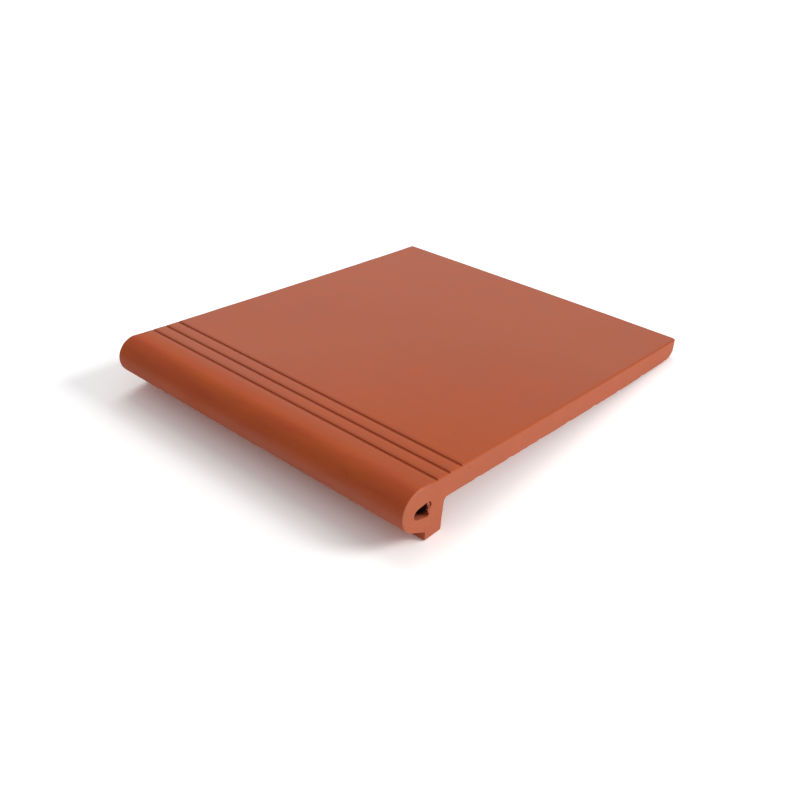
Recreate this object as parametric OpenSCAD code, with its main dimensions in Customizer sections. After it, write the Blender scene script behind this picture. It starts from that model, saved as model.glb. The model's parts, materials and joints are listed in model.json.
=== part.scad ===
// A stair tread tile of extruded, fired clay. It is one piece: a plate, a round
// hollow nosing along its front and a leg that hangs down on the riser side.
// The section is drawn flat, then the tile is tilted to lie as it does on a level
// floor: on the foot of its leg and on the heel under its rear edge.
// The origin is on the floor, below the middle of the tile.

/* [Tread] */
// Width of the tile along its nosing
tread_width = 300; // [200:1:400]
// Depth from the front of the nosing to the rear edge
tread_depth = 348.5; // [250:0.5:420]
// Thickness of the plate
plate_thickness = 18; // [15:0.5:24]
// Radius of the top edge at the rear
rear_edge_radius = 1.5; // [0.5:0.1:3]
// Radius of the two upright rear corners
corner_radius = 3; // [1:0.5:12]
// Radius of the arrises round the top of the two cut ends
arris_radius = 2; // [1:0.1:5]

/* [Nosing] */
// Height of the round nosing
nosing_height = 32; // [28:0.2:38]
// Distance from the front of the nosing back to the riser side of the leg
overhang = 40.9; // [38:0.1:60]
// Slope of the nosing's underside down to the leg, in degrees
drip_slope = 24; // [0:1:35]

/* [Leg] */
// Distance from the top of the tread down to the foot of the leg
leg_drop = 42.2; // [41:0.1:60]
// Thickness of the leg under the plate
leg_thickness = 17.4; // [14:0.1:19]
// How far the riser side comes forward between the plate and the foot
riser_lean = 1; // [0:0.1:3]
// Radius of the front edge of the foot
foot_front_radius = 0.6; // [0.3:0.1:4]
// Radius of the foot's edge on the riser side
foot_rear_radius = 1.6; // [0.5:0.1:4]
// How much lower the foot is at its front edge than at its rear edge
foot_fall = 1.1; // [0:0.1:1.5]
// Radius of the drip corner between the nosing and the leg
drip_radius = 1.5; // [0.5:0.1:3]
// Radius of the corner between the riser side and the plate
seat_radius = 3; // [1:0.1:5]

/* [Hollow] */
// Clay in front of the hollow, at the front of the nosing
hollow_wall = 11.4; // [8:0.1:14]
// Clay above the hollow
hollow_cover = 13.4; // [10:0.1:15]
// Distance from the top of the tread down to the middle of the hollow's front
hollow_level = 19; // [16:0.1:20]
// Depth of the hollow from front to rear
hollow_depth = 16; // [13:0.1:18]
// Height of the hollow at its rear side
hollow_height = 11.2; // [9:0.1:12]
// How far the hollow's rear side comes forward between its top and its bottom
hollow_lean = 1.5; // [0:0.1:2.5]
// Radius of the front corner of the hollow
hollow_front_radius = 4.1; // [2:0.1:4.4]
// Radius of the top corner at the hollow's rear side
hollow_top_radius = 3.2; // [1:0.1:4]
// Radius of the bottom corner at the hollow's rear side
hollow_base_radius = 1.8; // [1:0.1:3]

/* [Anti-slip grooves] */
// Number of grooves in the tread
grip_count = 3; // [1:1:5]
// Width of a groove
grip_width = 1.8; // [1:0.1:3]
// Depth of a groove
grip_depth = 1.2; // [1:0.1:3]
// Distance from the front of the nosing to the first groove
grip_setback = 31.9; // [28:0.1:45]
// Distance between grooves
grip_pitch = 12.3; // [6:0.1:20]

/* [Bed grooves] */
// Width of a bed groove in the underside
key_width = 8; // [4:0.5:14]
// Depth of a bed groove
key_depth = 1; // [0.5:0.1:3]
// Distance from the riser side of the leg to the first bed groove
key_setback = 34.1; // [15:0.1:60]
// Distance between bed grooves
key_pitch = 36.5; // [20:0.1:60]

/* [Heel] */
// Distance from the rear edge to where the underside starts to rise
heel_run = 85; // [40:1:120]
// How much thinner the plate is at its rear
heel_rise = 1.8; // [0:0.1:3]
// Radius of the rounded edge between the underside and the rear face
heel_radius = 12; // [4:0.5:20]
// Height of the flat rear face
rear_face_height = 10.5; // [8:0.1:11.5]

/* [Hidden] */
$fn = 96;
clay = "#b5654c";
bite = 5; // how far a cutter stands out past what it cuts
root = 2; // how far the filling of a corner reaches into the clay
arris_stop = 3; // angle by which the arris ends before the nosing's sloping underside
tuck = 0.002; // how far a tangent line starts inside its arc, so that no sliver is left

nosing_radius = nosing_height / 2;
nosing_centre = [nosing_radius, -nosing_radius];

// The underside of the nosing leaves its arc and slopes down to the front of the leg.
drip_face = [-sin(drip_slope), -cos(drip_slope)];
drip_start = nosing_centre + (nosing_radius - tuck) * drip_face;
leg_front = overhang - leg_thickness;
drip_corner = [leg_front, drip_start.y - (leg_front - drip_start.x) * tan(drip_slope)];
leg_face = [-1, 0];
drip_centre = corner_centre(drip_corner, drip_face, leg_face, drip_radius);

// The riser side leans forward from the point where it leaves the plate.
lean = atan(riser_lean / (leg_drop - plate_thickness));
riser_face = [cos(lean), -sin(lean)];
bed_face = [0, -1];
inner_level = -plate_thickness / 2;
foot_front = [leg_front + foot_front_radius, -leg_drop - foot_fall + foot_front_radius];
foot_rear = beside_riser(-leg_drop + foot_rear_radius);

// The heel's arc ends on the rear face and touches the rising underside.
heel_level = -plate_thickness + heel_rise + heel_radius;
heel_centre = [
    tread_depth - sqrt(heel_radius ^ 2 - (heel_level + rear_face_height) ^ 2), heel_level];
heel_start = [tread_depth - heel_run, -plate_thickness];
heel_touch = heel_centre
    + (heel_radius - tuck) * heading(tangent_side(heel_start, heel_centre, 0, heel_radius));

// Bed grooves run on towards the heel and stop a groove's width clear of its arc.
key_first = overhang + key_setback;
key_count = floor((heel_touch.x - 1.5 * key_width - key_first) / key_pitch) + 1;
key_radius = (key_width ^ 2 / 4 + key_depth ^ 2) / (2 * key_depth);

// At rest the floor touches the arc of the heel and the lower edge of the foot.
rest_tilt = max(floor_slope(foot_front, foot_front_radius), floor_slope(foot_rear, foot_rear_radius));
rear_top = [tread_depth - rear_edge_radius, -rear_edge_radius];
front_reach = tilted(nosing_centre).x - nosing_radius;
rear_reach = tilted(rear_top).x + rear_edge_radius;
rest_middle = (front_reach + rear_reach) / 2;
rest_height = max(foot_front_radius - tilted(foot_front).y, foot_rear_radius - tilted(foot_rear).y);

// Centre of an arc of the foot's rear radius that touches the riser side, at a given height
function beside_riser(level) = [
    overhang + (level + plate_thickness) * tan(lean) - foot_rear_radius / cos(lean), level];

// Slope of a floor that touches the heel and an arc of the foot
function floor_slope(foot, radius) = let (offset = heel_centre - foot)
    atan2(offset.y, offset.x) - asin((heel_radius - radius) / norm(offset));

// How far the underside has risen above the flat bed, at a distance from the front
function bed_rise(run) = run < heel_start.x ? 0
    : (run - heel_start.x) * (heel_touch.y - heel_start.y) / (heel_touch.x - heel_start.x);

// Where a point of the section comes to when the tile is tilted to rest
function tilted(point) = [
    point.x * cos(rest_tilt) + point.y * sin(rest_tilt),
    point.y * cos(rest_tilt) - point.x * sin(rest_tilt)];

function heading(angle) = [cos(angle), sin(angle)];

// Centre of an arc that rounds the corner of two faces, given the way that each one faces
function corner_centre(corner, face_a, face_b, radius) =
    corner + radius * (face_a + face_b) / (1 + face_a * face_b);

// Direction in which the common tangent of two arcs faces, on the right of a to b
function tangent_side(a, b, radius_a, radius_b) =
    atan2(b.y - a.y, b.x - a.x) - acos((radius_a - radius_b) / norm(b - a));

// An outline of arcs, listed anticlockwise, joined by their common tangents
module rounded_outline(centres, radii) {
    last = len(centres) - 1;
    polygon([for (i = [0:last]) let (
        j = i == last ? 0 : i + 1,
        side = heading(tangent_side(centres[i], centres[j], radii[i], radii[j])))
        each [centres[i] + (radii[i] - tuck) * side, centres[j] + (radii[j] - tuck) * side]]);
    for (i = [0:last]) translate(centres[i]) circle(radii[i]);
}

// What is taken off an outer edge to round it, with the arc's centre at the origin
module edge_waste(radius) {
    difference() {
        square(radius + bite);
        circle(radius);
    }
}

// The round nosing and its underside, with the drip corner still filled
module nosing_section() {
    translate(nosing_centre) circle(nosing_radius);
    polygon([[nosing_radius, 0], nosing_centre, drip_start,
        drip_centre - drip_radius * drip_face, drip_centre,
        drip_centre - (drip_radius + root) * leg_face, [leg_front + bite, 0]]);
}

module leg_section() {
    rounded_outline(
        [foot_front, foot_rear, beside_riser(inner_level), [foot_front.x, inner_level]],
        [foot_front_radius, foot_rear_radius, foot_rear_radius, foot_front_radius]);
    seat_corner();
}

// Clay that rounds the corner between the riser side and the plate
module seat_corner() {
    corner = [overhang, -plate_thickness];
    centre = corner_centre(corner, bed_face, riser_face, seat_radius);
    difference() {
        polygon([centre, centre - (seat_radius + root) * bed_face,
            corner - root * (bed_face + riser_face), centre - (seat_radius + root) * riser_face]);
        translate(centre) circle(seat_radius + 2 * tuck);
    }
}

module hollow_section() {
    rear = hollow_wall + hollow_depth;
    rounded_outline([
        [hollow_wall + hollow_front_radius, -hollow_level],
        [rear - hollow_lean - hollow_base_radius,
            -hollow_cover - hollow_height + hollow_base_radius],
        [rear - hollow_top_radius, -hollow_cover - hollow_top_radius]],
        [hollow_front_radius, hollow_base_radius, hollow_top_radius]);
}

module grip_groove() {
    translate([0, grip_width / 2 - grip_depth]) {
        circle(grip_width / 2);
        translate([-grip_width / 2, 0]) square([grip_width, grip_depth]);
    }
}

module plate_section() {
    difference() {
        intersection() {
            union() {
                polygon([[nosing_radius, 0], [nosing_radius, -plate_thickness],
                    heel_start, heel_touch, heel_centre, [tread_depth, heel_level],
                    [tread_depth, 0]]);
                translate(heel_centre) circle(heel_radius);
            }
            translate([0, -plate_thickness]) square([tread_depth, plate_thickness]);
        }
        translate(rear_top) edge_waste(rear_edge_radius);
        for (i = [0:1:key_count - 1]) let (run = key_first + i * key_pitch)
            translate([run, bed_rise(run) + key_depth - plate_thickness - key_radius])
                circle(key_radius);
    }
}

module tread_section() {
    difference() {
        union() {
            plate_section();
            nosing_section();
            leg_section();
        }
        translate(drip_centre) circle(drip_radius + 2 * tuck);
        hollow_section();
        for (i = [0:1:grip_count - 1])
            translate([grip_setback + i * grip_pitch, 0]) grip_groove();
    }
}

// What is taken off one cut end: along the tread, round the nosing and at the rear corner
module end_waste() {
    translate([tread_width / 2 - arris_radius, tread_depth + bite, -arris_radius])
        rotate([90, 0, 0])
            linear_extrude(tread_depth + bite - nosing_radius)
                edge_waste(arris_radius);
    translate([0, nosing_centre.x, nosing_centre.y])
        rotate([90, 0, 90])
            rotate([0, 0, 90])
                rotate_extrude(angle = 180 - drip_slope - arris_stop)
                    translate([nosing_radius - arris_radius, tread_width / 2 - arris_radius])
                        edge_waste(arris_radius);
    translate([tread_width / 2 - corner_radius, tread_depth - corner_radius,
        -plate_thickness - bite])
        linear_extrude(plate_thickness + 2 * bite)
            edge_waste(corner_radius);
}

module tread_tile() {
    color(clay)
        translate([0, -rest_middle, rest_height])
            rotate([-rest_tilt, 0, 0])
                difference() {
                    rotate([90, 0, 90])
                        linear_extrude(tread_width, center = true)
                            tread_section();
                    end_waste();
                    mirror([1, 0, 0]) end_waste();
                }
}

tread_tile();
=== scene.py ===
import bpy
import bmesh
import json
import math
from functools import partial
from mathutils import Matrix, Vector


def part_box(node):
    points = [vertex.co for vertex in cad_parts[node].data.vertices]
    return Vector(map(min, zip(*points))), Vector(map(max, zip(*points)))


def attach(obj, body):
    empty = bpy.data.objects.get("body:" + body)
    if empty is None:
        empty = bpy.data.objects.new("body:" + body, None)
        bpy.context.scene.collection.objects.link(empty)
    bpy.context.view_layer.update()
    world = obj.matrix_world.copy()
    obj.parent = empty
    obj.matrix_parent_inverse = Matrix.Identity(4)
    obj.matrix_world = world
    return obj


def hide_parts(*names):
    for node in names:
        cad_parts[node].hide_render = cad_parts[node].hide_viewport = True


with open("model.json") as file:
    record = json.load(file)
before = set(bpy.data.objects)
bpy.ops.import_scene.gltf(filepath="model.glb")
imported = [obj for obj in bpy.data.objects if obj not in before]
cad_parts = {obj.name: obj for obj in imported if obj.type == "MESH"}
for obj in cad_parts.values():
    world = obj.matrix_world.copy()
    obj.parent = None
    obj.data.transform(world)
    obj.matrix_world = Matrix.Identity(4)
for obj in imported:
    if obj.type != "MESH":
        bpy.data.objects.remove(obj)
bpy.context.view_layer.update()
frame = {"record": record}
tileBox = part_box("tread_tile")
scene = bpy.context.scene
scene.view_settings.view_transform = 'Standard'
mm = 0.001


def linear(hexColour):
    # an sRGB hex value as the linear colour that a shader works in
    channels = [int(hexColour[i:i + 2], 16) / 255 for i in (1, 3, 5)]
    return [c / 12.92 if c <= 0.04045 else ((c + 0.055) / 1.055) ** 2.4 for c in channels] + [1.0]


def addNode(tree, kind, settings=None, links=None):
    # settings name a property or an input, links give an input its source
    node = tree.nodes.new(kind)
    for name, value in (settings or {}).items():
        if isinstance(name, int) or name in node.inputs:
            node.inputs[name].default_value = value
        else:
            setattr(node, name, value)
    for name, source in (links or {}).items():
        tree.links.new(source if isinstance(source, bpy.types.NodeSocket) else source.outputs[0],
                       node.inputs[name])
    return node


cameraSizes = {
    "aim": (45.2 * mm, -60.5 * mm, 20.0 * mm),
    "distance": 732.2 * mm,
    "azimuth": -47.94,      # degrees from +X, seen from above
    "elevation": 31.97,
    "roll": 0.155,
    "lens": 43.9, "sensor": 36,
}


def makeCamera(sizes):
    azimuth, elevation = math.radians(sizes["azimuth"]), math.radians(sizes["elevation"])
    away = Vector((math.cos(azimuth) * math.cos(elevation), math.sin(azimuth) * math.cos(elevation),
                   math.sin(elevation)))
    data = bpy.data.cameras.new("camera")
    data.lens, data.sensor_width = sizes["lens"], sizes["sensor"]
    data.clip_start, data.clip_end = 0.01, 50
    camera = bpy.data.objects.new("camera", data)
    camera.location = Vector(sizes["aim"]) + away * sizes["distance"]
    turn = (-away).to_track_quat('-Z', 'Y').to_euler()
    turn.rotate_axis('Z', math.radians(sizes["roll"]))
    camera.rotation_euler = turn
    scene.collection.objects.link(camera)
    scene.camera = camera


makeCamera(cameraSizes)
print("camera set")


# The tile in mm and degrees. Its section is drawn with x from the front of the nosing to the rear
# edge and y up from the face of the tread.
tileSizes = {
    "width": 300, "depth": 348.5, "plate": 18, "rearEdge": 1.5,
    "nosing": 32, "overhang": 40.9, "dripSlope": 24, "dripRadius": 1.5,
    "legDrop": 42.2, "leg": 17.4, "lean": 1, "seat": 3,
    "footFront": 0.6, "footRear": 1.6, "footFall": 1.1,             # the foot's edges, and its slope
    "hollowWall": 11.4, "hollowCover": 13.4, "hollowLevel": 19,
    "hollowDepth": 16, "hollowHeight": 11.2, "hollowLean": 1.5,
    "hollowFront": 4.1, "hollowTop": 3.2, "hollowBase": 1.8,        # its three rounded corners
    "gripCount": 3, "gripWidth": 1.8, "gripDepth": 1.2, "gripLip": 0.45,
    "gripSetback": 31.9, "gripPitch": 12.3,
    "keyFirst": 75, "keyPitch": 36.5, "keyCount": 7,                # grooves that key it to its bed
    "keyWidth": 8, "keyDepth": 1,
    "heelRun": 85, "heelRise": 1.8, "heelRadius": 12, "rearFace": 10.5,
    "step": 4.0,                                                    # between points on the long flats
    # the cut ends: the rounding of their arrises, the nicks in them and the burr
    "arrisTop": 2.0, "arrisNose": 0.9, "arrisRear": 1.4, "arrisUnder": 0.6, "arrisHollow": 0.3,
    "arrisBlend": 6,                                                # passes that even one into the next
    "ragged": 0.35, "raggedPatch": 16,                              # rubbed more here than there
    "nickTop": 0.2, "nickUnder": 1.3, "nickHollow": 0.1, "nickPatch": 5,
    "crumbs": 19, "crumbSmall": 0.35, "crumbLarge": 1.1,            # burr in each mouth of the hollow
    "crumbInset": 0.6, "crumbStray": 0.6, "crumbGrain": 0.7, "crumbRough": 1.1, "crumbFlush": 0.02,
    "darkRoof": (0.3, 3), "darkFloor": (3, 7),                      # where the painted shade in the hollow starts, and is full
    # what the kiln does to it
    "crown": 0.6,                                                   # the middle of the rear edge rises
    "sag": 0.2,                                                     # the plate dips behind the leg
    "bow": 0.2,                                                     # the rear corners shrink forward
    "rise": 0.8,                                                    # the right rear corner lifts
    "taper": 1.8,                                                   # the right end draws in at the rear
    "waist": 1.0,                                                   # the left end, behind the nosing
    "warpFrom": 45,                                                 # in front of it the leg holds it
    "cornerLeft": 2.5, "cornerRight": 4.0, "cornerRun": 26,         # upright rear corners
    "uneven": 0.22, "unevenPatch": 55,
    "seed": 4.0,
}


def heading(angle):
    return Vector((math.cos(angle), math.sin(angle)))


def tangentSide(a, b, radiusA, radiusB):
    # direction in which the common tangent of two arcs faces, on the right of a to b
    return math.atan2(b.y - a.y, b.x - a.x) - math.acos((radiusA - radiusB) / (b - a).length)


def cornerCentre(corner, faceA, faceB, radius):
    return corner + (faceA + faceB) * radius / (1 + faceA.dot(faceB))


def flat(a, b, facing, arris, step, cuts=()):
    # points from a to b, with the grooves cut into it given as (distance from a, profile)
    clear = 0.3
    length = (b - a).length
    along = (b - a) / length
    count = max(1, round(length / step))
    places = {round(length * i / count, 4): 0.0 for i in range(count + 1)}
    for centre, profile in cuts:
        reach = profile[-1][0] + clear
        places = {d: cut for d, cut in places.items() if abs(d - centre) > reach}
        places.update({round(centre + offset, 4): cut for offset, cut in profile})
    return [(a + along * d, facing, places[d], arris) for d in sorted(places)]


def arc(centre, radius, start, end, arris, count, hollowed=False):
    # a round edge, or with hollowed the fillet of an inner corner
    side = -1 if hollowed else 1
    angles = [start + (end - start) * i / count for i in range(count + 1)]
    return [(centre + heading(a) * radius * side, heading(a), 0.0, arris) for a in angles]


def gripProfile(s):
    # an anti-slip groove: a lip the die drags over on each side, and a round bottom
    half, lip = s["gripWidth"] / 2, s["gripLip"]
    profile = [(-half - lip * math.cos(a), lip - lip * math.sin(a)) for a in (1.57, 1.1, 0.6, 0.15)]
    profile += [(half * math.sin(a), lip + (s["gripDepth"] - lip) * math.cos(a))
                for a in (-1.45, -1.1, -0.7, -0.35, 0, 0.35, 0.7, 1.1, 1.45)]
    profile = [(-half - lip - 0.5, 0.0)] + profile
    return ([(offset, max(0.0, cut)) for offset, cut in profile]
            + [(-offset, max(0.0, cut)) for offset, cut in reversed(profile[:5])])


def keyProfile(s):
    # a shallow round groove that keys the tile to its bed
    half, depth, count = s["keyWidth"] / 2, s["keyDepth"], 5
    radius = (half ** 2 + depth ** 2) / (2 * depth)
    offsets = [half * i / count for i in range(-count, count + 1)]
    middle = [(offset, math.sqrt(radius ** 2 - offset ** 2) - radius + depth) for offset in offsets]
    return ([(-half - 0.8, 0.0), (-half - 0.3, 0.0)] + middle
            + [(half + 0.3, 0.0), (half + 0.8, 0.0)])


def outerOutline(s):
    # round the tile from the top of the nosing, back along the tread and forward underneath
    down, up, legFace, back = Vector((0, -1)), Vector((0, 1)), Vector((-1, 0)), Vector((1, 0))
    radius, drip = s["nosing"] / 2, math.radians(s["dripSlope"])
    dripFace = Vector((-math.sin(drip), -math.cos(drip)))
    nosing = Vector((radius, -radius))
    dripStart = nosing + dripFace * radius
    legFront = s["overhang"] - s["leg"]
    dripCorner = Vector((legFront, dripStart.y - (legFront - dripStart.x) * math.tan(drip)))
    dripCentre = cornerCentre(dripCorner, dripFace, legFace, s["dripRadius"])
    lean = math.atan(s["lean"] / (s["legDrop"] - s["plate"]))
    riserFace = Vector((math.cos(lean), -math.sin(lean)))
    frontRound, rearRound = s["footFront"], s["footRear"]
    footFront = Vector((legFront + frontRound, -s["legDrop"] - s["footFall"] + frontRound))
    footRear = Vector((0, -s["legDrop"] + rearRound))
    footRear.x = s["overhang"] + (footRear.y + s["plate"]) * math.tan(lean) - rearRound / math.cos(lean)
    sole = tangentSide(footFront, footRear, frontRound, rearRound)
    seat = cornerCentre(Vector((s["overhang"], -s["plate"])), down, riserFace, s["seat"])
    heelLevel = -s["plate"] + s["heelRise"] + s["heelRadius"]
    heel = Vector((s["depth"] - math.sqrt(s["heelRadius"] ** 2 - (heelLevel + s["rearFace"]) ** 2),
                   heelLevel))
    heelStart = Vector((s["depth"] - s["heelRun"], -s["plate"]))
    heelTurn = tangentSide(heelStart, heel, 0, s["heelRadius"])
    heelTouch = heel + heading(heelTurn) * s["heelRadius"]
    slope = (heelStart - heelTouch).length

    grip, key = gripProfile(s), keyProfile(s)
    grips = [s["gripSetback"] + s["gripPitch"] * i for i in range(s["gripCount"])]
    keys = [s["keyFirst"] + s["keyPitch"] * i for i in range(s["keyCount"])]
    keysBehind = [((heelTouch.x - k) / (heelTouch.x - heelStart.x) * slope, key)
                  for k in keys if k > heelStart.x]
    keysAhead = [(heelStart.x - k, key) for k in keys if k < heelStart.x]

    top, rear, under, step = s["arrisTop"], s["arrisRear"], s["arrisUnder"], s["step"]
    fine, finer = 3, 1.5                # steps on the short flats
    edge, rearX = s["rearEdge"], s["depth"] - s["rearEdge"]
    outline = flat(Vector((radius, 0)), Vector((rearX - 14, 0)), up, top, step,
                   [(g - radius, grip) for g in grips])
    outline += flat(Vector((rearX - 12, 0)), Vector((rearX, 0)), up, rear, finer)
    outline += arc(Vector((rearX, -edge)), edge, math.radians(90), 0, rear, 5)[1:]
    outline += flat(Vector((s["depth"], -edge)), Vector((s["depth"], -s["rearFace"])),
                    back, rear, 1.8)[1:]
    outline += arc(heel, s["heelRadius"],
                   math.asin((-s["rearFace"] - heelLevel) / s["heelRadius"]), heelTurn, rear, 8)[1:]
    outline += flat(heelTouch, heelStart, heading(heelTurn), under, step, keysBehind)[1:]
    outline += flat(heelStart, Vector((seat.x, -s["plate"])), down, under, step, keysAhead)[1:]
    outline += arc(seat, s["seat"], math.radians(-90), -lean, under, 7, hollowed=True)[1:]
    outline += flat(seat - riserFace * s["seat"], footRear + riserFace * rearRound,
                    riserFace, under, fine)[1:]
    outline += arc(footRear, rearRound, -lean, sole, under, 6)[1:]
    outline += flat(footRear + heading(sole) * rearRound, footFront + heading(sole) * frontRound,
                    heading(sole), under, fine)[1:]
    outline += arc(footFront, frontRound, sole, math.radians(-180), under, 5)[1:]
    outline += flat(footFront + legFace * frontRound, Vector((legFront, dripCentre.y)),
                    legFace, under, finer)[1:]
    outline += arc(dripCentre, s["dripRadius"], math.radians(-180),
                   math.radians(-90) - drip, under, 5, hollowed=True)[1:]
    outline += flat(dripCentre - dripFace * s["dripRadius"], dripStart, dripFace, under, finer)[1:]
    outline += arc(nosing, radius, math.radians(270) - drip, math.radians(200), under, 14)[1:]
    outline += arc(nosing, radius, math.radians(200), math.radians(90), s["arrisNose"], 30)[1:-1]
    return outline


def hollowOutline(s):
    # three rounded corners: the front one low in the nosing, then the floor's and the roof's
    rear = s["hollowWall"] + s["hollowDepth"]
    base = -s["hollowCover"] - s["hollowHeight"]
    radii = [s["hollowFront"], s["hollowBase"], s["hollowTop"]]
    centres = [Vector((s["hollowWall"] + radii[0], -s["hollowLevel"])),
               Vector((rear - s["hollowLean"] - radii[1], base + radii[1])),
               Vector((rear - radii[2], -s["hollowCover"] - radii[2]))]
    sides = [tangentSide(centres[i], centres[(i + 1) % 3], radii[i], radii[(i + 1) % 3])
             for i in range(3)]
    outline = []
    for i in range(3):
        start, end = sides[i - 1], sides[i]
        while end < start:
            end += math.tau
        edge = arc(centres[i], radii[i], start, end, s["arrisHollow"], 8)
        tip = centres[(i + 1) % 3] + heading(end) * radii[(i + 1) % 3]
        edge += flat(edge[-1][0], tip, heading(end), s["arrisHollow"], 1.6)[1:-1]
        outline += edge
    return [(p, -n, cut, arris) for p, n, cut, arris in outline]


def hollowBack(s):
    # the hollow's rear wall, from just above its lower corner up to the roof
    rear = s["hollowWall"] + s["hollowDepth"]
    ends = [(rear - s["hollowLean"] + 0.3, -s["hollowCover"] - s["hollowHeight"] + s["hollowBase"] + 1.4),
            (rear - s["hollowTop"] + 0.2, -s["hollowCover"] - 0.5)]
    return [(0, y * mm, z * mm) for y, z in ends]


def smoothed(outline, passes):
    # the rounding of the cut end changes gently from one flank to the next
    arrises = [point[3] for point in outline]
    for _ in range(passes):
        arrises = [(arrises[i - 1] + 2 * arrises[i] + arrises[(i + 1) % len(arrises)]) / 4
                   for i in range(len(arrises))]
    return [point[:3] + (arris,) for point, arris in zip(outline, arrises)]


def lineObject(name, loops, cyclic, attributes):
    # edges that carry named values, for a tree of nodes to read
    data = bpy.data.meshes.new(name)
    points, edges = [], []
    for loop in loops:
        first = len(points)
        points += loop
        edges += [(first + i, first + i + 1) for i in range(len(loop) - 1)]
        if cyclic:
            edges.append((first + len(loop) - 1, first))
    data.from_pydata(points, edges, [])
    for attributeName, kind, values in attributes:
        attribute = data.attributes.new(attributeName, kind, 'POINT')
        attribute.data.foreach_set("vector" if kind == 'FLOAT_VECTOR' else "value", values)
    made = bpy.data.objects.new(name, data)
    scene.collection.objects.link(made)
    return made


def makeSection(s):
    outer, hollow = smoothed(outerOutline(s), s["arrisBlend"]), hollowOutline(s)
    rims, outwards, nicks = [], [], []
    for point, facing, cut, arris in outer + hollow:
        rims += [0, point.x * mm, point.y * mm]
        outwards += [0, facing.x, facing.y]
    for point, facing, cut, arris in outer:
        nicks.append((s["nickUnder"] if arris < 1 else s["nickTop"]) * mm)
    nicks += [s["nickHollow"] * mm] * len(hollow)
    loops = [[(0, row[0].x * mm, row[0].y * mm) for row in loop] for loop in (outer, hollow)]
    return lineObject("section", loops, True, [
        ("rim", 'FLOAT_VECTOR', rims),
        ("outward", 'FLOAT_VECTOR', outwards),
        ("cut", 'FLOAT', [row[2] * mm for row in outer + hollow]),
        ("arris", 'FLOAT', [row[3] * mm for row in outer + hollow]),
        ("nick", 'FLOAT', nicks),
        ("bore", 'FLOAT', [0.0] * len(outer) + [1.0] * len(hollow))])


def makePath(s):
    # stations along the width: the arris at each cut end, the corner, then even steps
    half, turns = s["width"] / 2, 6
    angles = [math.pi / 2 * (turns - i) / turns for i in range(turns + 1)]
    side = [(half, 1 - math.sin(a), 1 - math.cos(a)) for a in angles]
    side += [(half - d, 0, 0) for d in (2.8, 3.4, 4.1, 5.0, 6.0, 8.0, 11.0)]
    inner = half - 15
    count = round(2 * inner / s["step"])
    stations = [(-x, -inset, drop) for x, inset, drop in side]
    stations += [(-inner + 2 * inner * i / count, 0, 0) for i in range(count + 1)]
    stations += side[::-1]
    apart = 1e-6                        # keeps stations at one place from being one point
    return lineObject("path", [[(x * mm + i * apart, 0, 0) for i, (x, n, d) in enumerate(stations)]],
                      False, [("along", 'FLOAT', [x * mm for x, n, d in stations]),
                              ("inset", 'FLOAT', [n for x, n, d in stations]),
                              ("drop", 'FLOAT', [d for x, n, d in stations])])


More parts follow.
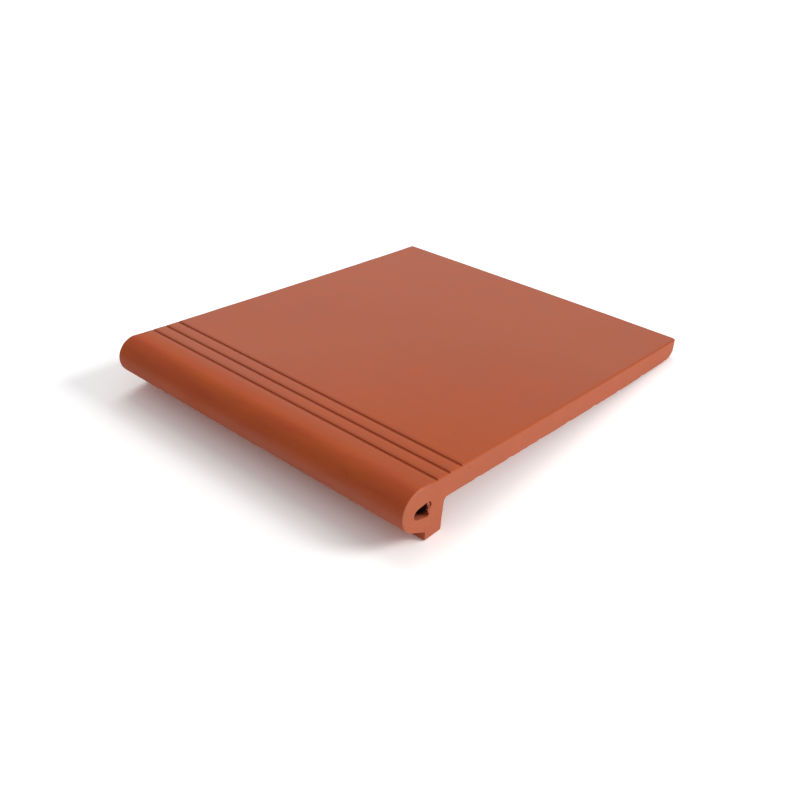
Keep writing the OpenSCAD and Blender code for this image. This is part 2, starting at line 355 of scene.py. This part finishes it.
def tileTree(s):
    # draws the section along the path, rounds and fills both ends and warps the whole
    tree = bpy.data.node_groups.new("clay_tile", 'GeometryNodeTree')
    face = tree.interface
    sockets = {
        'NodeSocketGeometry': ("Section",),
        'NodeSocketObject': ("Path",),
        'NodeSocketFloat': ("Width", "Depth", "Corner Left", "Corner Right", "Crown", "Sag", "Bow",
                            "Rise", "Taper", "Waist", "Uneven", "Ragged", "Crumb Small",
                            "Crumb Large", "Seed", "Tilt"),
        'NodeSocketInt': ("Crumbs",),
        'NodeSocketVector': ("Burr Low", "Burr High", "Rest"),
        'NodeSocketMaterial': ("Material",),
    }
    for kind, names in sockets.items():
        for name in names:
            face.new_socket(name, in_out='INPUT', socket_type=kind)
    face.new_socket("Tile", in_out='OUTPUT', socket_type='NodeSocketGeometry')
    given = addNode(tree, 'NodeGroupInput').outputs
    add = partial(addNode, tree)
    maths, vectors, spread = 'ShaderNodeMath', 'ShaderNodeVectorMath', 'ShaderNodeMapRange'
    noise, compose = 'ShaderNodeTexNoise', 'ShaderNodeCombineXYZ'
    read, store, move = ('GeometryNodeInputNamedAttribute', 'GeometryNodeStoreNamedAttribute',
                         'GeometryNodeSetPosition')
    onPoints = {"data_type": 'FLOAT', "domain": 'POINT'}

    path = add('GeometryNodeObjectInfo', {}, {"Object": given["Path"]})
    rail = add('GeometryNodeMeshToCurve', {}, {"Mesh": path.outputs["Geometry"]})
    die = add('GeometryNodeMeshToCurve', {}, {"Mesh": given["Section"]})
    swept = add('GeometryNodeCurveToMesh', {"Fill Caps": False}, {"Curve": rail, "Profile Curve": die})
    rim, outward = [add(read, {"data_type": 'FLOAT_VECTOR', "Name": name})
                    for name in ("rim", "outward")]
    cut, arris, along, inset, drop, nick, bore = [
        add(read, {"data_type": 'FLOAT', "Name": name})
        for name in ("cut", "arris", "along", "inset", "drop", "nick", "bore")]

    # the arris is rubbed more in one place than in the next, and nicked here and there
    place = add(vectors, {"operation": 'ADD'}, {0: rim, 1: add(compose, {}, {"X": along})})
    rubAndRimHighlight = add(noise, {"noise_dimensions": '4D', "Scale": 1 / (s["raggedPatch"] * mm), "Detail": 2.0},
              {"Vector": place, "W": given["Seed"]})
    rubbedAndRimLit = add(maths, {"operation": 'MULTIPLY_ADD', 1: 2.0, 2: -1.0}, {0: rubAndRimHighlight.outputs[0]})
    rubbedAndRimLit = add(maths, {"operation": 'MULTIPLY_ADD', 2: 1.0}, {0: rubbedAndRimLit, 1: given["Ragged"]})
    arrisHere = add(maths, {"operation": 'MULTIPLY'}, {0: arris, 1: rubbedAndRimLit})
    bite = add(noise, {"noise_dimensions": '4D', "Scale": 1 / (s["nickPatch"] * mm), "Detail": 3.0},
               {"Vector": place, "W": given["Seed"]})
    bite = add(spread, {"From Min": 0.58, "From Max": 0.74}, {"Value": bite.outputs[0]})
    arrisHere = add(maths, {"operation": 'MULTIPLY_ADD'}, {0: bite, 1: nick, 2: arrisHere})
    x = add(maths, {"operation": 'MULTIPLY'}, {0: arrisHere, 1: inset})
    x = add(maths, {"operation": 'SUBTRACT'}, {0: along, 1: x})
    depth = add(maths, {"operation": 'MULTIPLY'}, {0: arrisHere, 1: drop})
    depth = add(maths, {"operation": 'MAXIMUM'}, {0: depth, 1: cut})

    # shrinkage leaves the surface slightly uneven, never proud of the die's line
    swell = add(noise, {"noise_dimensions": '4D', "Scale": 1 / (s["unevenPatch"] * mm), "Detail": 2.5,
                        "Roughness": 0.45}, {"Vector": place, "W": given["Seed"]})
    depth = add(maths, {"operation": 'MULTIPLY_ADD'},
                {0: swell.outputs[0], 1: given["Uneven"], 2: depth})
    inward = add(vectors, {"operation": 'SCALE'}, {0: outward, "Scale": depth})
    shaped = add('ShaderNodeSeparateXYZ', {},
                 {0: add(vectors, {"operation": 'SUBTRACT'}, {0: rim, 1: inward})}).outputs

    # upright rear corners, round in plan
    halfWidth = add(maths, {"operation": 'MULTIPLY', 1: 0.5}, {0: given["Width"]})
    right = add(maths, {"operation": 'GREATER_THAN', 1: 0.0}, {0: x})
    corner = add('ShaderNodeMix', {}, {0: right, 2: given["Corner Left"], 3: given["Corner Right"]})
    fromCorner = add(maths, {"operation": 'SUBTRACT'}, {0: halfWidth, 1: corner})
    past = add(maths, {"operation": 'ABSOLUTE'}, {0: x})
    past = add(maths, {"operation": 'SUBTRACT'}, {0: past, 1: fromCorner})
    past = add(maths, {"operation": 'MAXIMUM', 1: 0.0}, {0: past})
    past = add(maths, {"operation": 'DIVIDE'}, {0: past, 1: corner})
    past = add(maths, {"operation": 'POWER', 1: 2.0}, {0: past})
    past = add(maths, {"operation": 'SUBTRACT', 0: 1.0, "use_clamp": True}, {1: past})
    past = add(maths, {"operation": 'SQRT'}, {0: past})
    past = add(maths, {"operation": 'SUBTRACT', 0: 1.0}, {1: past})
    past = add(maths, {"operation": 'MULTIPLY'}, {0: past, 1: corner})
    cornerStart = add(maths, {"operation": 'SUBTRACT', 1: s["cornerRun"] * mm}, {0: given["Depth"]})
    nearRear = add(spread, {"interpolation_type": 'SMOOTHSTEP'},
                   {"Value": shaped[1], "From Min": cornerStart, "From Max": given["Depth"]})
    past = add(maths, {"operation": 'MULTIPLY'}, {0: past, 1: nearRear})
    u = add(maths, {"operation": 'SUBTRACT'}, {0: shaped[1], 1: past})

    # warp: how far back, and how far from the middle of the width
    back = add(spread, {"From Min": s["warpFrom"] * mm}, {"Value": u, "From Max": given["Depth"]})
    backSquare = add(maths, {"operation": 'POWER', 1: 2.0}, {0: back})
    share = add(maths, {"operation": 'DIVIDE'}, {0: x, 1: halfWidth})
    across = add(maths, {"operation": 'POWER', 1: 2.0}, {0: share})
    arch = add(maths, {"operation": 'SUBTRACT', 0: 1.0}, {1: across})
    arch = add(maths, {"operation": 'MULTIPLY'}, {0: arch, 1: backSquare})
    v = add(maths, {"operation": 'MULTIPLY_ADD'}, {0: arch, 1: given["Crown"], 2: shaped[2]})
    dip = add(maths, {"operation": 'SUBTRACT'}, {0: back, 1: backSquare})
    dip = add(maths, {"operation": 'MULTIPLY', 1: 4.0}, {0: dip})
    dip = add(maths, {"operation": 'MULTIPLY'}, {0: dip, 1: given["Sag"]})
    v = add(maths, {"operation": 'SUBTRACT'}, {0: v, 1: dip})
    lift = add(spread, {"From Min": -1.0, "From Max": 1.0}, {"Value": share})
    lift = add(maths, {"operation": 'POWER', 1: 2.0}, {0: lift})
    lift = add(maths, {"operation": 'MULTIPLY'}, {0: lift, 1: backSquare})
    v = add(maths, {"operation": 'MULTIPLY_ADD'}, {0: lift, 1: given["Rise"], 2: v})
    bowed = add(maths, {"operation": 'MULTIPLY'}, {0: across, 1: backSquare})
    bowed = add(maths, {"operation": 'MULTIPLY'}, {0: bowed, 1: given["Bow"]})
    u = add(maths, {"operation": 'SUBTRACT'}, {0: u, 1: bowed})
    formed = add(compose, {}, {"X": x, "Y": u, "Z": v})
    body = add(move, {}, {"Geometry": swept, "Position": formed})

    # what the clay's material reads: how torn, how far down in a groove, and how much painted shade lies
    # far in the hollow
    body = add(store, dict(onPoints, Name="sawn"), {"Geometry": body, "Value": drop})
    grooveCut = add(maths, {"operation": 'SUBTRACT', 0: 1.0}, {1: drop})
    grooveCut = add(maths, {"operation": 'MULTIPLY'}, {0: grooveCut, 1: cut})
    body = add(store, dict(onPoints, Name="groove"), {"Geometry": body, "Value": grooveCut})
    fromEnd = add(maths, {"operation": 'ABSOLUTE'}, {0: along})
    fromEnd = add(maths, {"operation": 'SUBTRACT'}, {0: halfWidth, 1: fromEnd})
    # painted shade in the hollow: it starts further in on the floor, as light from outside reaches
    # further along the hollow's floor than along its other walls
    level = add('ShaderNodeSeparateXYZ', {}, {0: outward}).outputs[2]
    near, far = [add(spread, {"To Min": roof * mm, "To Max": floor * mm}, {"Value": level})
                 for roof, floor in zip(s["darkRoof"], s["darkFloor"])]
    deep = add(spread, {}, {"Value": fromEnd, "From Min": near, "From Max": far})
    deep = add(maths, {"operation": 'MULTIPLY'}, {0: bore, 1: deep})
    body = add(store, dict(onPoints, Name="deep"), {"Geometry": body, "Value": deep})
    body = add('GeometryNodeSetShadeSmooth', {"Shade Smooth": True}, {"Geometry": body})

    # the two sawn ends are filled, round the hollow; a curve fills only flat, so each ring is laid
    # down and its face set upright again
    parts = [body]
    position = add('GeometryNodeInputPosition')
    spot = add('ShaderNodeSeparateXYZ', {}, {0: position}).outputs
    for side in (1.0, -1.0):
        endX = add(maths, {"operation": 'MULTIPLY', 1: side}, {0: halfWidth})
        inside = add(maths, {"operation": 'MULTIPLY', 1: side}, {0: spot[0]})
        inside = add(maths, {"operation": 'SUBTRACT'}, {0: halfWidth, 1: inside})
        inside = add(maths, {"operation": 'GREATER_THAN', 1: 1e-6}, {0: inside})
        ring = add('GeometryNodeDeleteGeometry', {"domain": 'POINT'},
                   {"Geometry": body, "Selection": inside})
        ring = add('GeometryNodeMeshToCurve', {}, {"Mesh": ring})
        laid = add(compose, {}, {"X": spot[1], "Y": spot[2]})
        ring = add(move, {}, {"Geometry": ring, "Position": laid})
        filled = add('GeometryNodeFillCurve', {}, {"Curve": ring})
        upright = add(compose, {}, {"X": endX, "Y": spot[0], "Z": spot[1]})
        filled = add(move, {}, {"Geometry": filled, "Position": upright})
        filled = add(store, dict(onPoints, Name="sawn", Value=1.0), {"Geometry": filled})
        parts.append(add('GeometryNodeSetShadeSmooth', {"Shade Smooth": False}, {"Geometry": filled}))
    whole = add('GeometryNodeJoinGeometry')
    for part in parts:
        tree.links.new(part.outputs[0], whole.inputs[0])
    whole = add('GeometryNodeMergeByDistance', {"Distance": 2e-6}, {"Geometry": whole})

    # burr along the rear wall of the hollow, just inside both mouths
    parts = [whole]
    stray = s["crumbStray"] * mm
    for side, seed in ((1.0, 3), (-1.0, 8)):
        mouth = add(maths, {"operation": 'SUBTRACT', 1: s["crumbInset"] * mm}, {0: halfWidth})
        mouth = add(maths, {"operation": 'MULTIPLY', 1: side}, {0: mouth})
        mouth = add(compose, {}, {"X": mouth})
        low = add(vectors, {"operation": 'ADD'}, {0: given["Burr Low"], 1: mouth})
        high = add(vectors, {"operation": 'ADD'}, {0: given["Burr High"], 1: mouth})
        line = add('GeometryNodeMeshLine', {"mode": 'END_POINTS'},
                   {"Count": given["Crumbs"], "Start Location": low, "Offset": high})
        size = add('FunctionNodeRandomValue', {"data_type": 'FLOAT', "Seed": seed},
                   {2: given["Crumb Small"], 3: given["Crumb Large"]}).outputs[1]
        turned = add('FunctionNodeRandomValue', {"data_type": 'FLOAT_VECTOR', "Seed": seed + 1,
                                                 "Max": (6.3, 6.3, 6.3)})
        strayed = add('FunctionNodeRandomValue', {"data_type": 'FLOAT_VECTOR', "Seed": seed + 2,
                                                  "Min": (-stray,) * 3, "Max": (stray,) * 3})
        line = add(move, {}, {"Geometry": line, "Offset": strayed})
        ball = add('GeometryNodeMeshIcoSphere', {"Radius": 1.0, "Subdivisions": 2})
        crumbs = add('GeometryNodeInstanceOnPoints', {}, {"Points": line, "Instance": ball,
                                                         "Rotation": turned, "Scale": size})
        crumbs = add('GeometryNodeRealizeInstances', {}, {"Geometry": crumbs})
        rough = add(noise, {"Scale": 1 / (s["crumbGrain"] * mm), "Detail": 2.0}, {"Vector": position})
        rough = add(vectors, {"operation": 'SUBTRACT', 1: (0.5, 0.5, 0.5)},
                    {0: rough.outputs["Color"]})
        rough = add(vectors, {"operation": 'SCALE', "Scale": s["crumbRough"] * mm}, {0: rough})
        crumbs = add(move, {}, {"Geometry": crumbs, "Offset": rough})
        # the wire cut them flush with the end
        outerX = add(maths, {"operation": 'MULTIPLY', 1: side}, {0: spot[0]})
        limit = add(maths, {"operation": 'SUBTRACT', 1: s["crumbFlush"] * mm}, {0: halfWidth})
        flush = add(maths, {"operation": 'MINIMUM'}, {0: outerX, 1: limit})
        flush = add(maths, {"operation": 'MULTIPLY', 1: side}, {0: flush})
        flush = add(compose, {}, {"X": flush, "Y": spot[1], "Z": spot[2]})
        crumbs = add(move, {}, {"Geometry": crumbs, "Position": flush})
        parts.append(add(store, dict(onPoints, Name="sawn", Value=1.0), {"Geometry": crumbs}))
    whole = add('GeometryNodeJoinGeometry')
    for part in parts:
        tree.links.new(part.outputs[0], whole.inputs[0])

    # the right end draws in towards the rear and the left end behind the nosing
    back = add(spread, {}, {"Value": spot[1], "From Max": given["Depth"]})
    across = add(maths, {"operation": 'DIVIDE'}, {0: spot[0], 1: halfWidth})
    right = add(maths, {"operation": 'MAXIMUM', 1: 0.0}, {0: across})
    left = add(maths, {"operation": 'SUBTRACT'}, {0: right, 1: across})
    taper = add(maths, {"operation": 'POWER', 1: 1.6}, {0: back})
    taper = add(maths, {"operation": 'MULTIPLY'}, {0: taper, 1: given["Taper"]})
    taper = add(maths, {"operation": 'MULTIPLY'}, {0: right, 1: taper})
    waist = add(maths, {"operation": 'SQRT'}, {0: back})
    waist = add(maths, {"operation": 'SUBTRACT'}, {0: waist, 1: back})
    waist = add(maths, {"operation": 'MULTIPLY', 1: 4.0}, {0: waist})
    waist = add(maths, {"operation": 'MULTIPLY'}, {0: waist, 1: given["Waist"]})
    drawn = add(maths, {"operation": 'MULTIPLY'}, {0: left, 1: waist})
    drawn = add(maths, {"operation": 'SUBTRACT'}, {0: drawn, 1: taper})
    settled = add(vectors, {"operation": 'ADD'}, {0: position, 1: add(compose, {}, {"X": drawn})})

    # laid down on its foot and its heel
    settled = add('ShaderNodeVectorRotate', {"rotation_type": 'X_AXIS'},
                  {"Vector": settled, "Angle": given["Tilt"]})
    settled = add(vectors, {"operation": 'ADD'}, {0: settled, 1: given["Rest"]})
    whole = add(move, {}, {"Geometry": whole, "Position": settled})
    whole = add('GeometryNodeRealizeInstances', {}, {"Geometry": whole})
    whole = add('GeometryNodeSetMaterial', {}, {"Geometry": whole, "Material": given["Material"]})
    add('NodeGroupOutput', {}, {0: whole})
    return tree


def restPlace(s):
    # the record's bed face gives the tilt, and the tile's box gives the place
    bed = next(m for m in frame["record"]["mounts"] if m["name"] == "bed_face")
    tilt = math.atan2(-bed["axis"][1], -bed["axis"][2])
    low = [math.inf, math.inf]
    for point, facing, cut, arris in outerOutline(s):
        y = point.x * math.cos(tilt) + point.y * math.sin(tilt)
        z = point.y * math.cos(tilt) - point.x * math.sin(tilt)
        low = [min(low[0], y * mm), min(low[1], z * mm)]
    return tilt, (0, tileBox[0][1] - low[0], tileBox[0][2] - low[1])


def makeTile(s, material):
    tilt, rest = restPlace(s)
    burrLow, burrHigh = hollowBack(s)
    section, path = makeSection(s), makePath(s)
    modifier = section.modifiers.new("clay_tile", 'NODES')
    modifier.node_group = tileTree(s)
    values = {
        "Width": s["width"] * mm, "Depth": s["depth"] * mm,
        "Corner Left": s["cornerLeft"] * mm, "Corner Right": s["cornerRight"] * mm,
        "Crown": s["crown"] * mm, "Sag": s["sag"] * mm, "Bow": s["bow"] * mm,
        "Rise": s["rise"] * mm, "Taper": s["taper"] * mm, "Waist": s["waist"] * mm,
        "Uneven": s["uneven"] * mm, "Ragged": s["ragged"], "Seed": s["seed"],
        "Crumbs": s["crumbs"], "Crumb Small": s["crumbSmall"] * mm,
        "Crumb Large": s["crumbLarge"] * mm, "Burr Low": burrLow, "Burr High": burrHigh,
        "Tilt": -tilt, "Rest": rest, "Path": path, "Material": material,
    }
    for item in modifier.node_group.interface.items_tree:
        if item.in_out == 'INPUT' and item.name in values:
            modifier[item.identifier] = values[item.name]
    depsgraph = bpy.context.evaluated_depsgraph_get()
    data = bpy.data.meshes.new_from_object(section.evaluated_get(depsgraph))
    for name in ("rim", "outward", "cut", "arris", "along", "inset", "drop", "nick", "bore"):
        if name in data.attributes:
            data.attributes.remove(data.attributes[name])
    shell = bmesh.new()
    shell.from_mesh(data)
    bmesh.ops.recalc_face_normals(shell, faces=shell.faces)
    shell.to_mesh(data)
    openEdges = sum(1 for edge in shell.edges if not edge.is_manifold)
    shell.free()
    tile = bpy.data.objects.new("clay_tile", data)
    scene.collection.objects.link(tile)
    for helper in (section, path):
        bpy.data.objects.remove(helper)
    print("tile made:", len(data.polygons), "faces,", openEdges, "open edges")
    return tile


clayFinish = {
    "body": "#a24310",          # the fired body
    "flush": "#a54614",         # paler where the kiln was hotter
    "flushSize": 130 * mm,
    "flash": "#b04b1a",         # deeper on the nosing and near its right end, closer to the burner
    "flashFrom": -138 * mm, "flashTo": -166 * mm,           # along the depth of the tile
    "flashCorner": (170 * mm, -140 * mm, 30 * mm), "flashReach": 230 * mm, "flashShare": 0.55,
    "cloud": "#a43a22",         # redder clouds drawn out along the nosing
    "cloudLength": 60 * mm, "cloudWidth": 11 * mm, "cloudShare": 0.55,
    "paintedFloorSheen": "#b25e44",         # a painted reflection of the white floor, paler in patches low on the nosing
    "floorSheenFrom": 37 * mm, "floorSheenTo": 26 * mm,               # heights
    "floorSheenSize": 80 * mm, "floorSheenShare": (0.35, 1.15),
    "sawn": "#b86142",          # the ends, cut by a wire and dustier
    "rubAndRimHighlight": "#bf765b",           # a painted highlight on the front arrises, where their rounded rim catches the light
    "rimHighlightFrom": -145 * mm, "rimHighlightTo": -160 * mm, "rimHighlightShare": 0.75,
    "mottleSize": 24 * mm,
    "streakLength": 150 * mm, "streakWidth": 4 * mm,        # drag lines left by the die
    "grainSize": 1.1 * mm,      # the grit is 0.2 mm, drawn coarser so that it shows
    "shade": (0.9, 1.1),        # how much mottle, drag lines and grit darken and lighten
    "fleck": "#7a3420",         # iron flecks
    "fleckSpacing": 9 * mm, "fleckSize": 0.7 * mm, "fleckShare": 0.55,
    # a darker colour, the further down in a groove
    "grooveDarker": "#8a4226",
    "grooveDarkFrom": 0.15 * mm, "grooveDarkTo": 1.2 * mm, "grooveDarkShare": 0.2,
    "hollowShadeColour": "#260602",    # painted shade far in the hollow, where little light reaches
    "skin": 0.44, "nosing": 0.85, "torn": 0.8,              # roughness, the last of the cut ends
    "gloss": 0.4,               # a little under a dense body's, as this one is open
    "swellSize": 8 * mm, "skinRelief": 0.05 * mm, "gritRelief": 0.12 * mm, "skinGrit": 0.35,
}


def makeTerracotta(c):
    # terracotta, extruded, cut by a wire and fired without a glaze: matt with a faint sheen on the
    # skin the die pressed, one warm colour that drifts from place to place, gritty where it was cut
    material = bpy.data.materials.new("terracotta")
    material.use_nodes = True
    tree = material.node_tree
    shader = tree.nodes["Principled BSDF"]
    shader.inputs["Specular IOR Level"].default_value = c["gloss"]
    add = partial(addNode, tree)
    noise, spread, maths = 'ShaderNodeTexNoise', 'ShaderNodeMapRange', 'ShaderNodeMath'
    mix, rgba, vectors = 'ShaderNodeMix', {"data_type": 'RGBA'}, 'ShaderNodeVectorMath'
    place = add('ShaderNodeTexCoord').outputs["Object"]
    spot = add('ShaderNodeSeparateXYZ', {}, {0: place}).outputs
    depth, height = spot[1], spot[2]
    sawn, groove, deep = [add('ShaderNodeAttribute', {"attribute_name": name}).outputs["Fac"]
                          for name in ("sawn", "groove", "deep")]

    # the body drifts, and the fire flashed it at the nosing and near one corner
    drift = add(noise, {"Scale": 1 / c["flushSize"], "Detail": 2.0}, {"Vector": place})
    drift = add(spread, {"From Min": 0.35, "From Max": 0.65}, {"Value": drift})
    colour = add(mix, {**rgba, 6: linear(c["body"]), 7: linear(c["flush"])}, {0: drift})
    flash = add(spread, {"From Min": c["flashFrom"], "From Max": c["flashTo"],
                         "interpolation_type": 'SMOOTHSTEP'}, {"Value": depth})
    corner = add(vectors, {"operation": 'DISTANCE', 1: c["flashCorner"]}, {0: place})
    corner = add(spread, {"From Max": c["flashReach"], "To Min": c["flashShare"], "To Max": 0.0},
                 {"Value": corner.outputs["Value"]})
    flash = add(maths, {"operation": 'MAXIMUM'}, {0: flash, 1: corner})
    colour = add(mix, {**rgba, 7: linear(c["flash"])}, {0: flash, 6: colour.outputs[2]})

    # clouds, and a painted reflection of the floor, on the nosing only
    nosing = add(spread, {"From Min": c["flashFrom"], "From Max": c["flashTo"]}, {"Value": depth})
    drawn = add('ShaderNodeMapping', {"Scale": (1 / c["cloudLength"], 1 / c["cloudWidth"],
                                                1 / c["cloudWidth"])}, {"Vector": place})
    cloud = add(noise, {"Scale": 1.0, "Detail": 4.0}, {"Vector": drawn})
    cloud = add(spread, {"From Min": 0.42, "From Max": 0.65, "To Max": c["cloudShare"]},
                {"Value": cloud})
    cloud = add(maths, {"operation": 'MULTIPLY'}, {0: cloud, 1: nosing})
    colour = add(mix, {**rgba, 7: linear(c["cloud"])}, {0: cloud, 6: colour.outputs[2]})
    paintedFloorSheen = add(spread, {"From Min": c["floorSheenFrom"], "From Max": c["floorSheenTo"],
                         "interpolation_type": 'SMOOTHSTEP'}, {"Value": height})
    paintedFloorSheen = add(maths, {"operation": 'MULTIPLY'}, {0: paintedFloorSheen, 1: nosing})
    patches = add(noise, {"Scale": 1 / c["floorSheenSize"], "Detail": 3.0}, {"Vector": place})
    patches = add(spread, {"From Min": 0.3, "From Max": 0.7, "To Min": c["floorSheenShare"][0],
                           "To Max": c["floorSheenShare"][1]}, {"Value": patches})
    paintedFloorSheen = add(maths, {"operation": 'MULTIPLY'}, {0: paintedFloorSheen, 1: patches})
    colour = add(mix, {**rgba, 7: linear(c["paintedFloorSheen"])}, {0: paintedFloorSheen, 6: colour.outputs[2]})

    # the cut ends, and a painted highlight on the arris between them and the skin, at the front
    end = add(spread, {"From Min": 0.1, "From Max": 0.9}, {"Value": sawn})
    colour = add(mix, {**rgba, 7: linear(c["sawn"])}, {0: end, 6: colour.outputs[2]})
    rubbedAndRimLit = add(maths, {"operation": 'PINGPONG', 1: 0.5}, {0: sawn})
    rubbedAndRimLit = add(spread, {"From Min": 0.0, "From Max": 0.25, "To Max": c["rimHighlightShare"]},
                 {"Value": rubbedAndRimLit})
    front = add(spread, {"From Min": c["rimHighlightTo"], "From Max": c["rimHighlightFrom"], "To Min": 1.0,
                         "To Max": 0.0}, {"Value": depth})
    rubbedAndRimLit = add(maths, {"operation": 'MULTIPLY'}, {0: rubbedAndRimLit, 1: front})
    colour = add(mix, {**rgba, 7: linear(c["rubAndRimHighlight"])}, {0: rubbedAndRimLit, 6: colour.outputs[2]})

    # mottle, drag lines along the width, and grit
    mottle = add(noise, {"Scale": 1 / c["mottleSize"], "Detail": 5.0, "Roughness": 0.6},
                 {"Vector": place})
    stretched = add('ShaderNodeMapping', {"Scale": (1 / c["streakLength"], 1 / c["streakWidth"],
                                                    1 / c["streakWidth"])}, {"Vector": place})
    streak = add(noise, {"Scale": 1.0, "Detail": 3.0}, {"Vector": stretched})
    grain = add(noise, {"Scale": 1 / c["grainSize"], "Detail": 2.0}, {"Vector": place})
    shade = add(maths, {"operation": 'MULTIPLY_ADD', 1: 0.3}, {0: streak, 2: mottle})
    shade = add(maths, {"operation": 'MULTIPLY_ADD', 1: 0.4}, {0: grain, 2: shade})
    shade = add(spread, {"From Min": 0.4, "From Max": 1.3, "To Min": c["shade"][0],
                         "To Max": c["shade"][1]}, {"Value": shade})
    colour = add(vectors, {"operation": 'SCALE'}, {0: colour.outputs[2], "Scale": shade})

    # iron flecks, a darker colour the further down in a groove, and painted shade far in the hollow
    fleck = add('ShaderNodeTexVoronoi', {"Scale": 1 / c["fleckSpacing"]}, {"Vector": place})
    fleckEdge = c["fleckSize"] / 2 / c["fleckSpacing"]
    fleck = add(spread, {"From Min": fleckEdge, "From Max": fleckEdge * 2.2,
                         "To Min": c["fleckShare"], "To Max": 0.0},
                {"Value": fleck.outputs["Distance"]})
    colour = add(mix, {**rgba, 7: linear(c["fleck"])}, {0: fleck, 6: colour})
    grooveDarkening = add(spread, {"From Min": c["grooveDarkFrom"], "From Max": c["grooveDarkTo"], "To Max": c["grooveDarkShare"]},
               {"Value": groove})
    colour = add(mix, {**rgba, 7: linear(c["grooveDarker"])}, {0: grooveDarkening, 6: colour.outputs[2]})
    colour = add(mix, {**rgba, 7: linear(c["hollowShadeColour"])}, {0: deep, 6: colour.outputs[2]})
    tree.links.new(colour.outputs[2], shader.inputs["Base Color"])

    # finish: a faint sheen on the pressed skin, none on the cut ends or where the hollow is painted with
    # shade
    skin = add(spread, {"To Min": c["skin"], "To Max": c["nosing"]}, {"Value": flash})
    rough = add(spread, {"From Max": 0.12, "To Max": c["torn"]}, {"Value": sawn, "To Min": skin})
    rough = add(maths, {"operation": 'MAXIMUM'}, {0: rough, 1: deep})
    rough = add(maths, {"operation": 'MULTIPLY_ADD', 1: 0.12}, {0: mottle, 2: rough})
    tree.links.new(rough.outputs[0], shader.inputs["Roughness"])

    # relief: soft undulation and drag lines of the skin, grit, and the torn face of the cut
    swell = add(noise, {"Scale": 1 / c["swellSize"], "Detail": 2.0}, {"Vector": place})
    grit = add(spread, {"To Min": c["skinGrit"], "To Max": 1.0}, {"Value": sawn})
    grit = add(maths, {"operation": 'MULTIPLY'}, {0: grit, 1: grain})
    bump = add('ShaderNodeBump', {"Strength": 1.0, "Distance": c["skinRelief"]}, {"Height": swell})
    bump = add('ShaderNodeBump', {"Strength": 1.0, "Distance": c["skinRelief"]},
               {"Height": streak, "Normal": bump})
    bump = add('ShaderNodeBump', {"Strength": 1.0, "Distance": c["gritRelief"]},
               {"Height": grit, "Normal": bump})
    tree.links.new(bump.outputs[0], shader.inputs["Normal"])
    return material


clay = makeTerracotta(clayFinish)
print("terracotta ready")
tile = makeTile(tileSizes, clay)
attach(tile, "root")
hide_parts("tread_tile")


roomSizes = {
    "reach": 8.0,               # half the side of the floor
    "paper": 0.85,              # its white, as it lights the tile
    "paperSeen": 1.3,           # and as it is looked at
    "sky": 0.48, "skySeen": 1.0,
    # strength, width of the lamp, azimuth from +X and elevation, in degrees
    "window": (1.36, 20, 35, 30),
    "windowLow": (0.77, 14, 60, 18),
    "backWall": (0.62, 36, 133, 56),
}


def seenDirectly(tree):
    # one for a ray from the camera, or one that a shiny or clear surface turned
    rays = addNode(tree, 'ShaderNodeLightPath').outputs
    seen = addNode(tree, 'ShaderNodeMath', {"operation": 'MAXIMUM'},
                   {0: rays["Is Camera Ray"], 1: rays["Is Glossy Ray"]})
    return addNode(tree, 'ShaderNodeMath', {"operation": 'MAXIMUM'},
                   {0: seen, 1: rays["Is Transmission Ray"]})


def makeFloor(sizes):
    # matt white backdrop paper: it shows white and takes a soft shadow
    paper = bpy.data.materials.new("white_paper")
    paper.use_nodes = True
    tree = paper.node_tree
    shader = tree.nodes["Principled BSDF"]
    shader.inputs["Roughness"].default_value = 1.0
    shader.inputs["Specular IOR Level"].default_value = 0.0
    tone = addNode(tree, 'ShaderNodeMix', {"data_type": 'RGBA', 6: [sizes["paper"]] * 3 + [1],
                                           7: [sizes["paperSeen"]] * 3 + [1]}, {0: seenDirectly(tree)})
    tree.links.new(tone.outputs[2], shader.inputs["Base Color"])
    reach = sizes["reach"]
    data = bpy.data.meshes.new("floor")
    data.from_pydata([(-reach, -reach, 0), (reach, -reach, 0), (reach, reach, 0), (-reach, reach, 0)],
                     [], [(0, 1, 2, 3)])
    data.materials.append(paper)
    floor = bpy.data.objects.new("floor", data)
    scene.collection.objects.link(floor)


def makeLight(sizes):
    # a pale sky and three broad lamps, under which a level surface shows about its colour as written
    world = bpy.data.worlds.new("studio")
    world.use_nodes = True
    tree = world.node_tree
    sky = tree.nodes["Background"]
    sky.inputs["Color"].default_value = (1, 1, 1, 1)
    strength = addNode(tree, 'ShaderNodeMapRange', {"To Min": sizes["sky"], "To Max": sizes["skySeen"]},
                       {"Value": seenDirectly(tree)})
    tree.links.new(strength.outputs[0], sky.inputs["Strength"])
    scene.world = world
    for name in ("window", "windowLow", "backWall"):
        energy, width, azimuth, elevation = sizes[name]
        data = bpy.data.lights.new(name, 'SUN')
        data.energy, data.angle = energy, math.radians(width)
        lamp = bpy.data.objects.new(name, data)
        azimuth, elevation = math.radians(azimuth), math.radians(elevation)
        towards = Vector((math.cos(elevation) * math.cos(azimuth),
                          math.cos(elevation) * math.sin(azimuth), math.sin(elevation)))
        lamp.rotation_euler = towards.to_track_quat('Z', 'Y').to_euler()
        scene.collection.objects.link(lamp)


makeFloor(roomSizes)
print("floor laid")
makeLight(roomSizes)
print("light set")
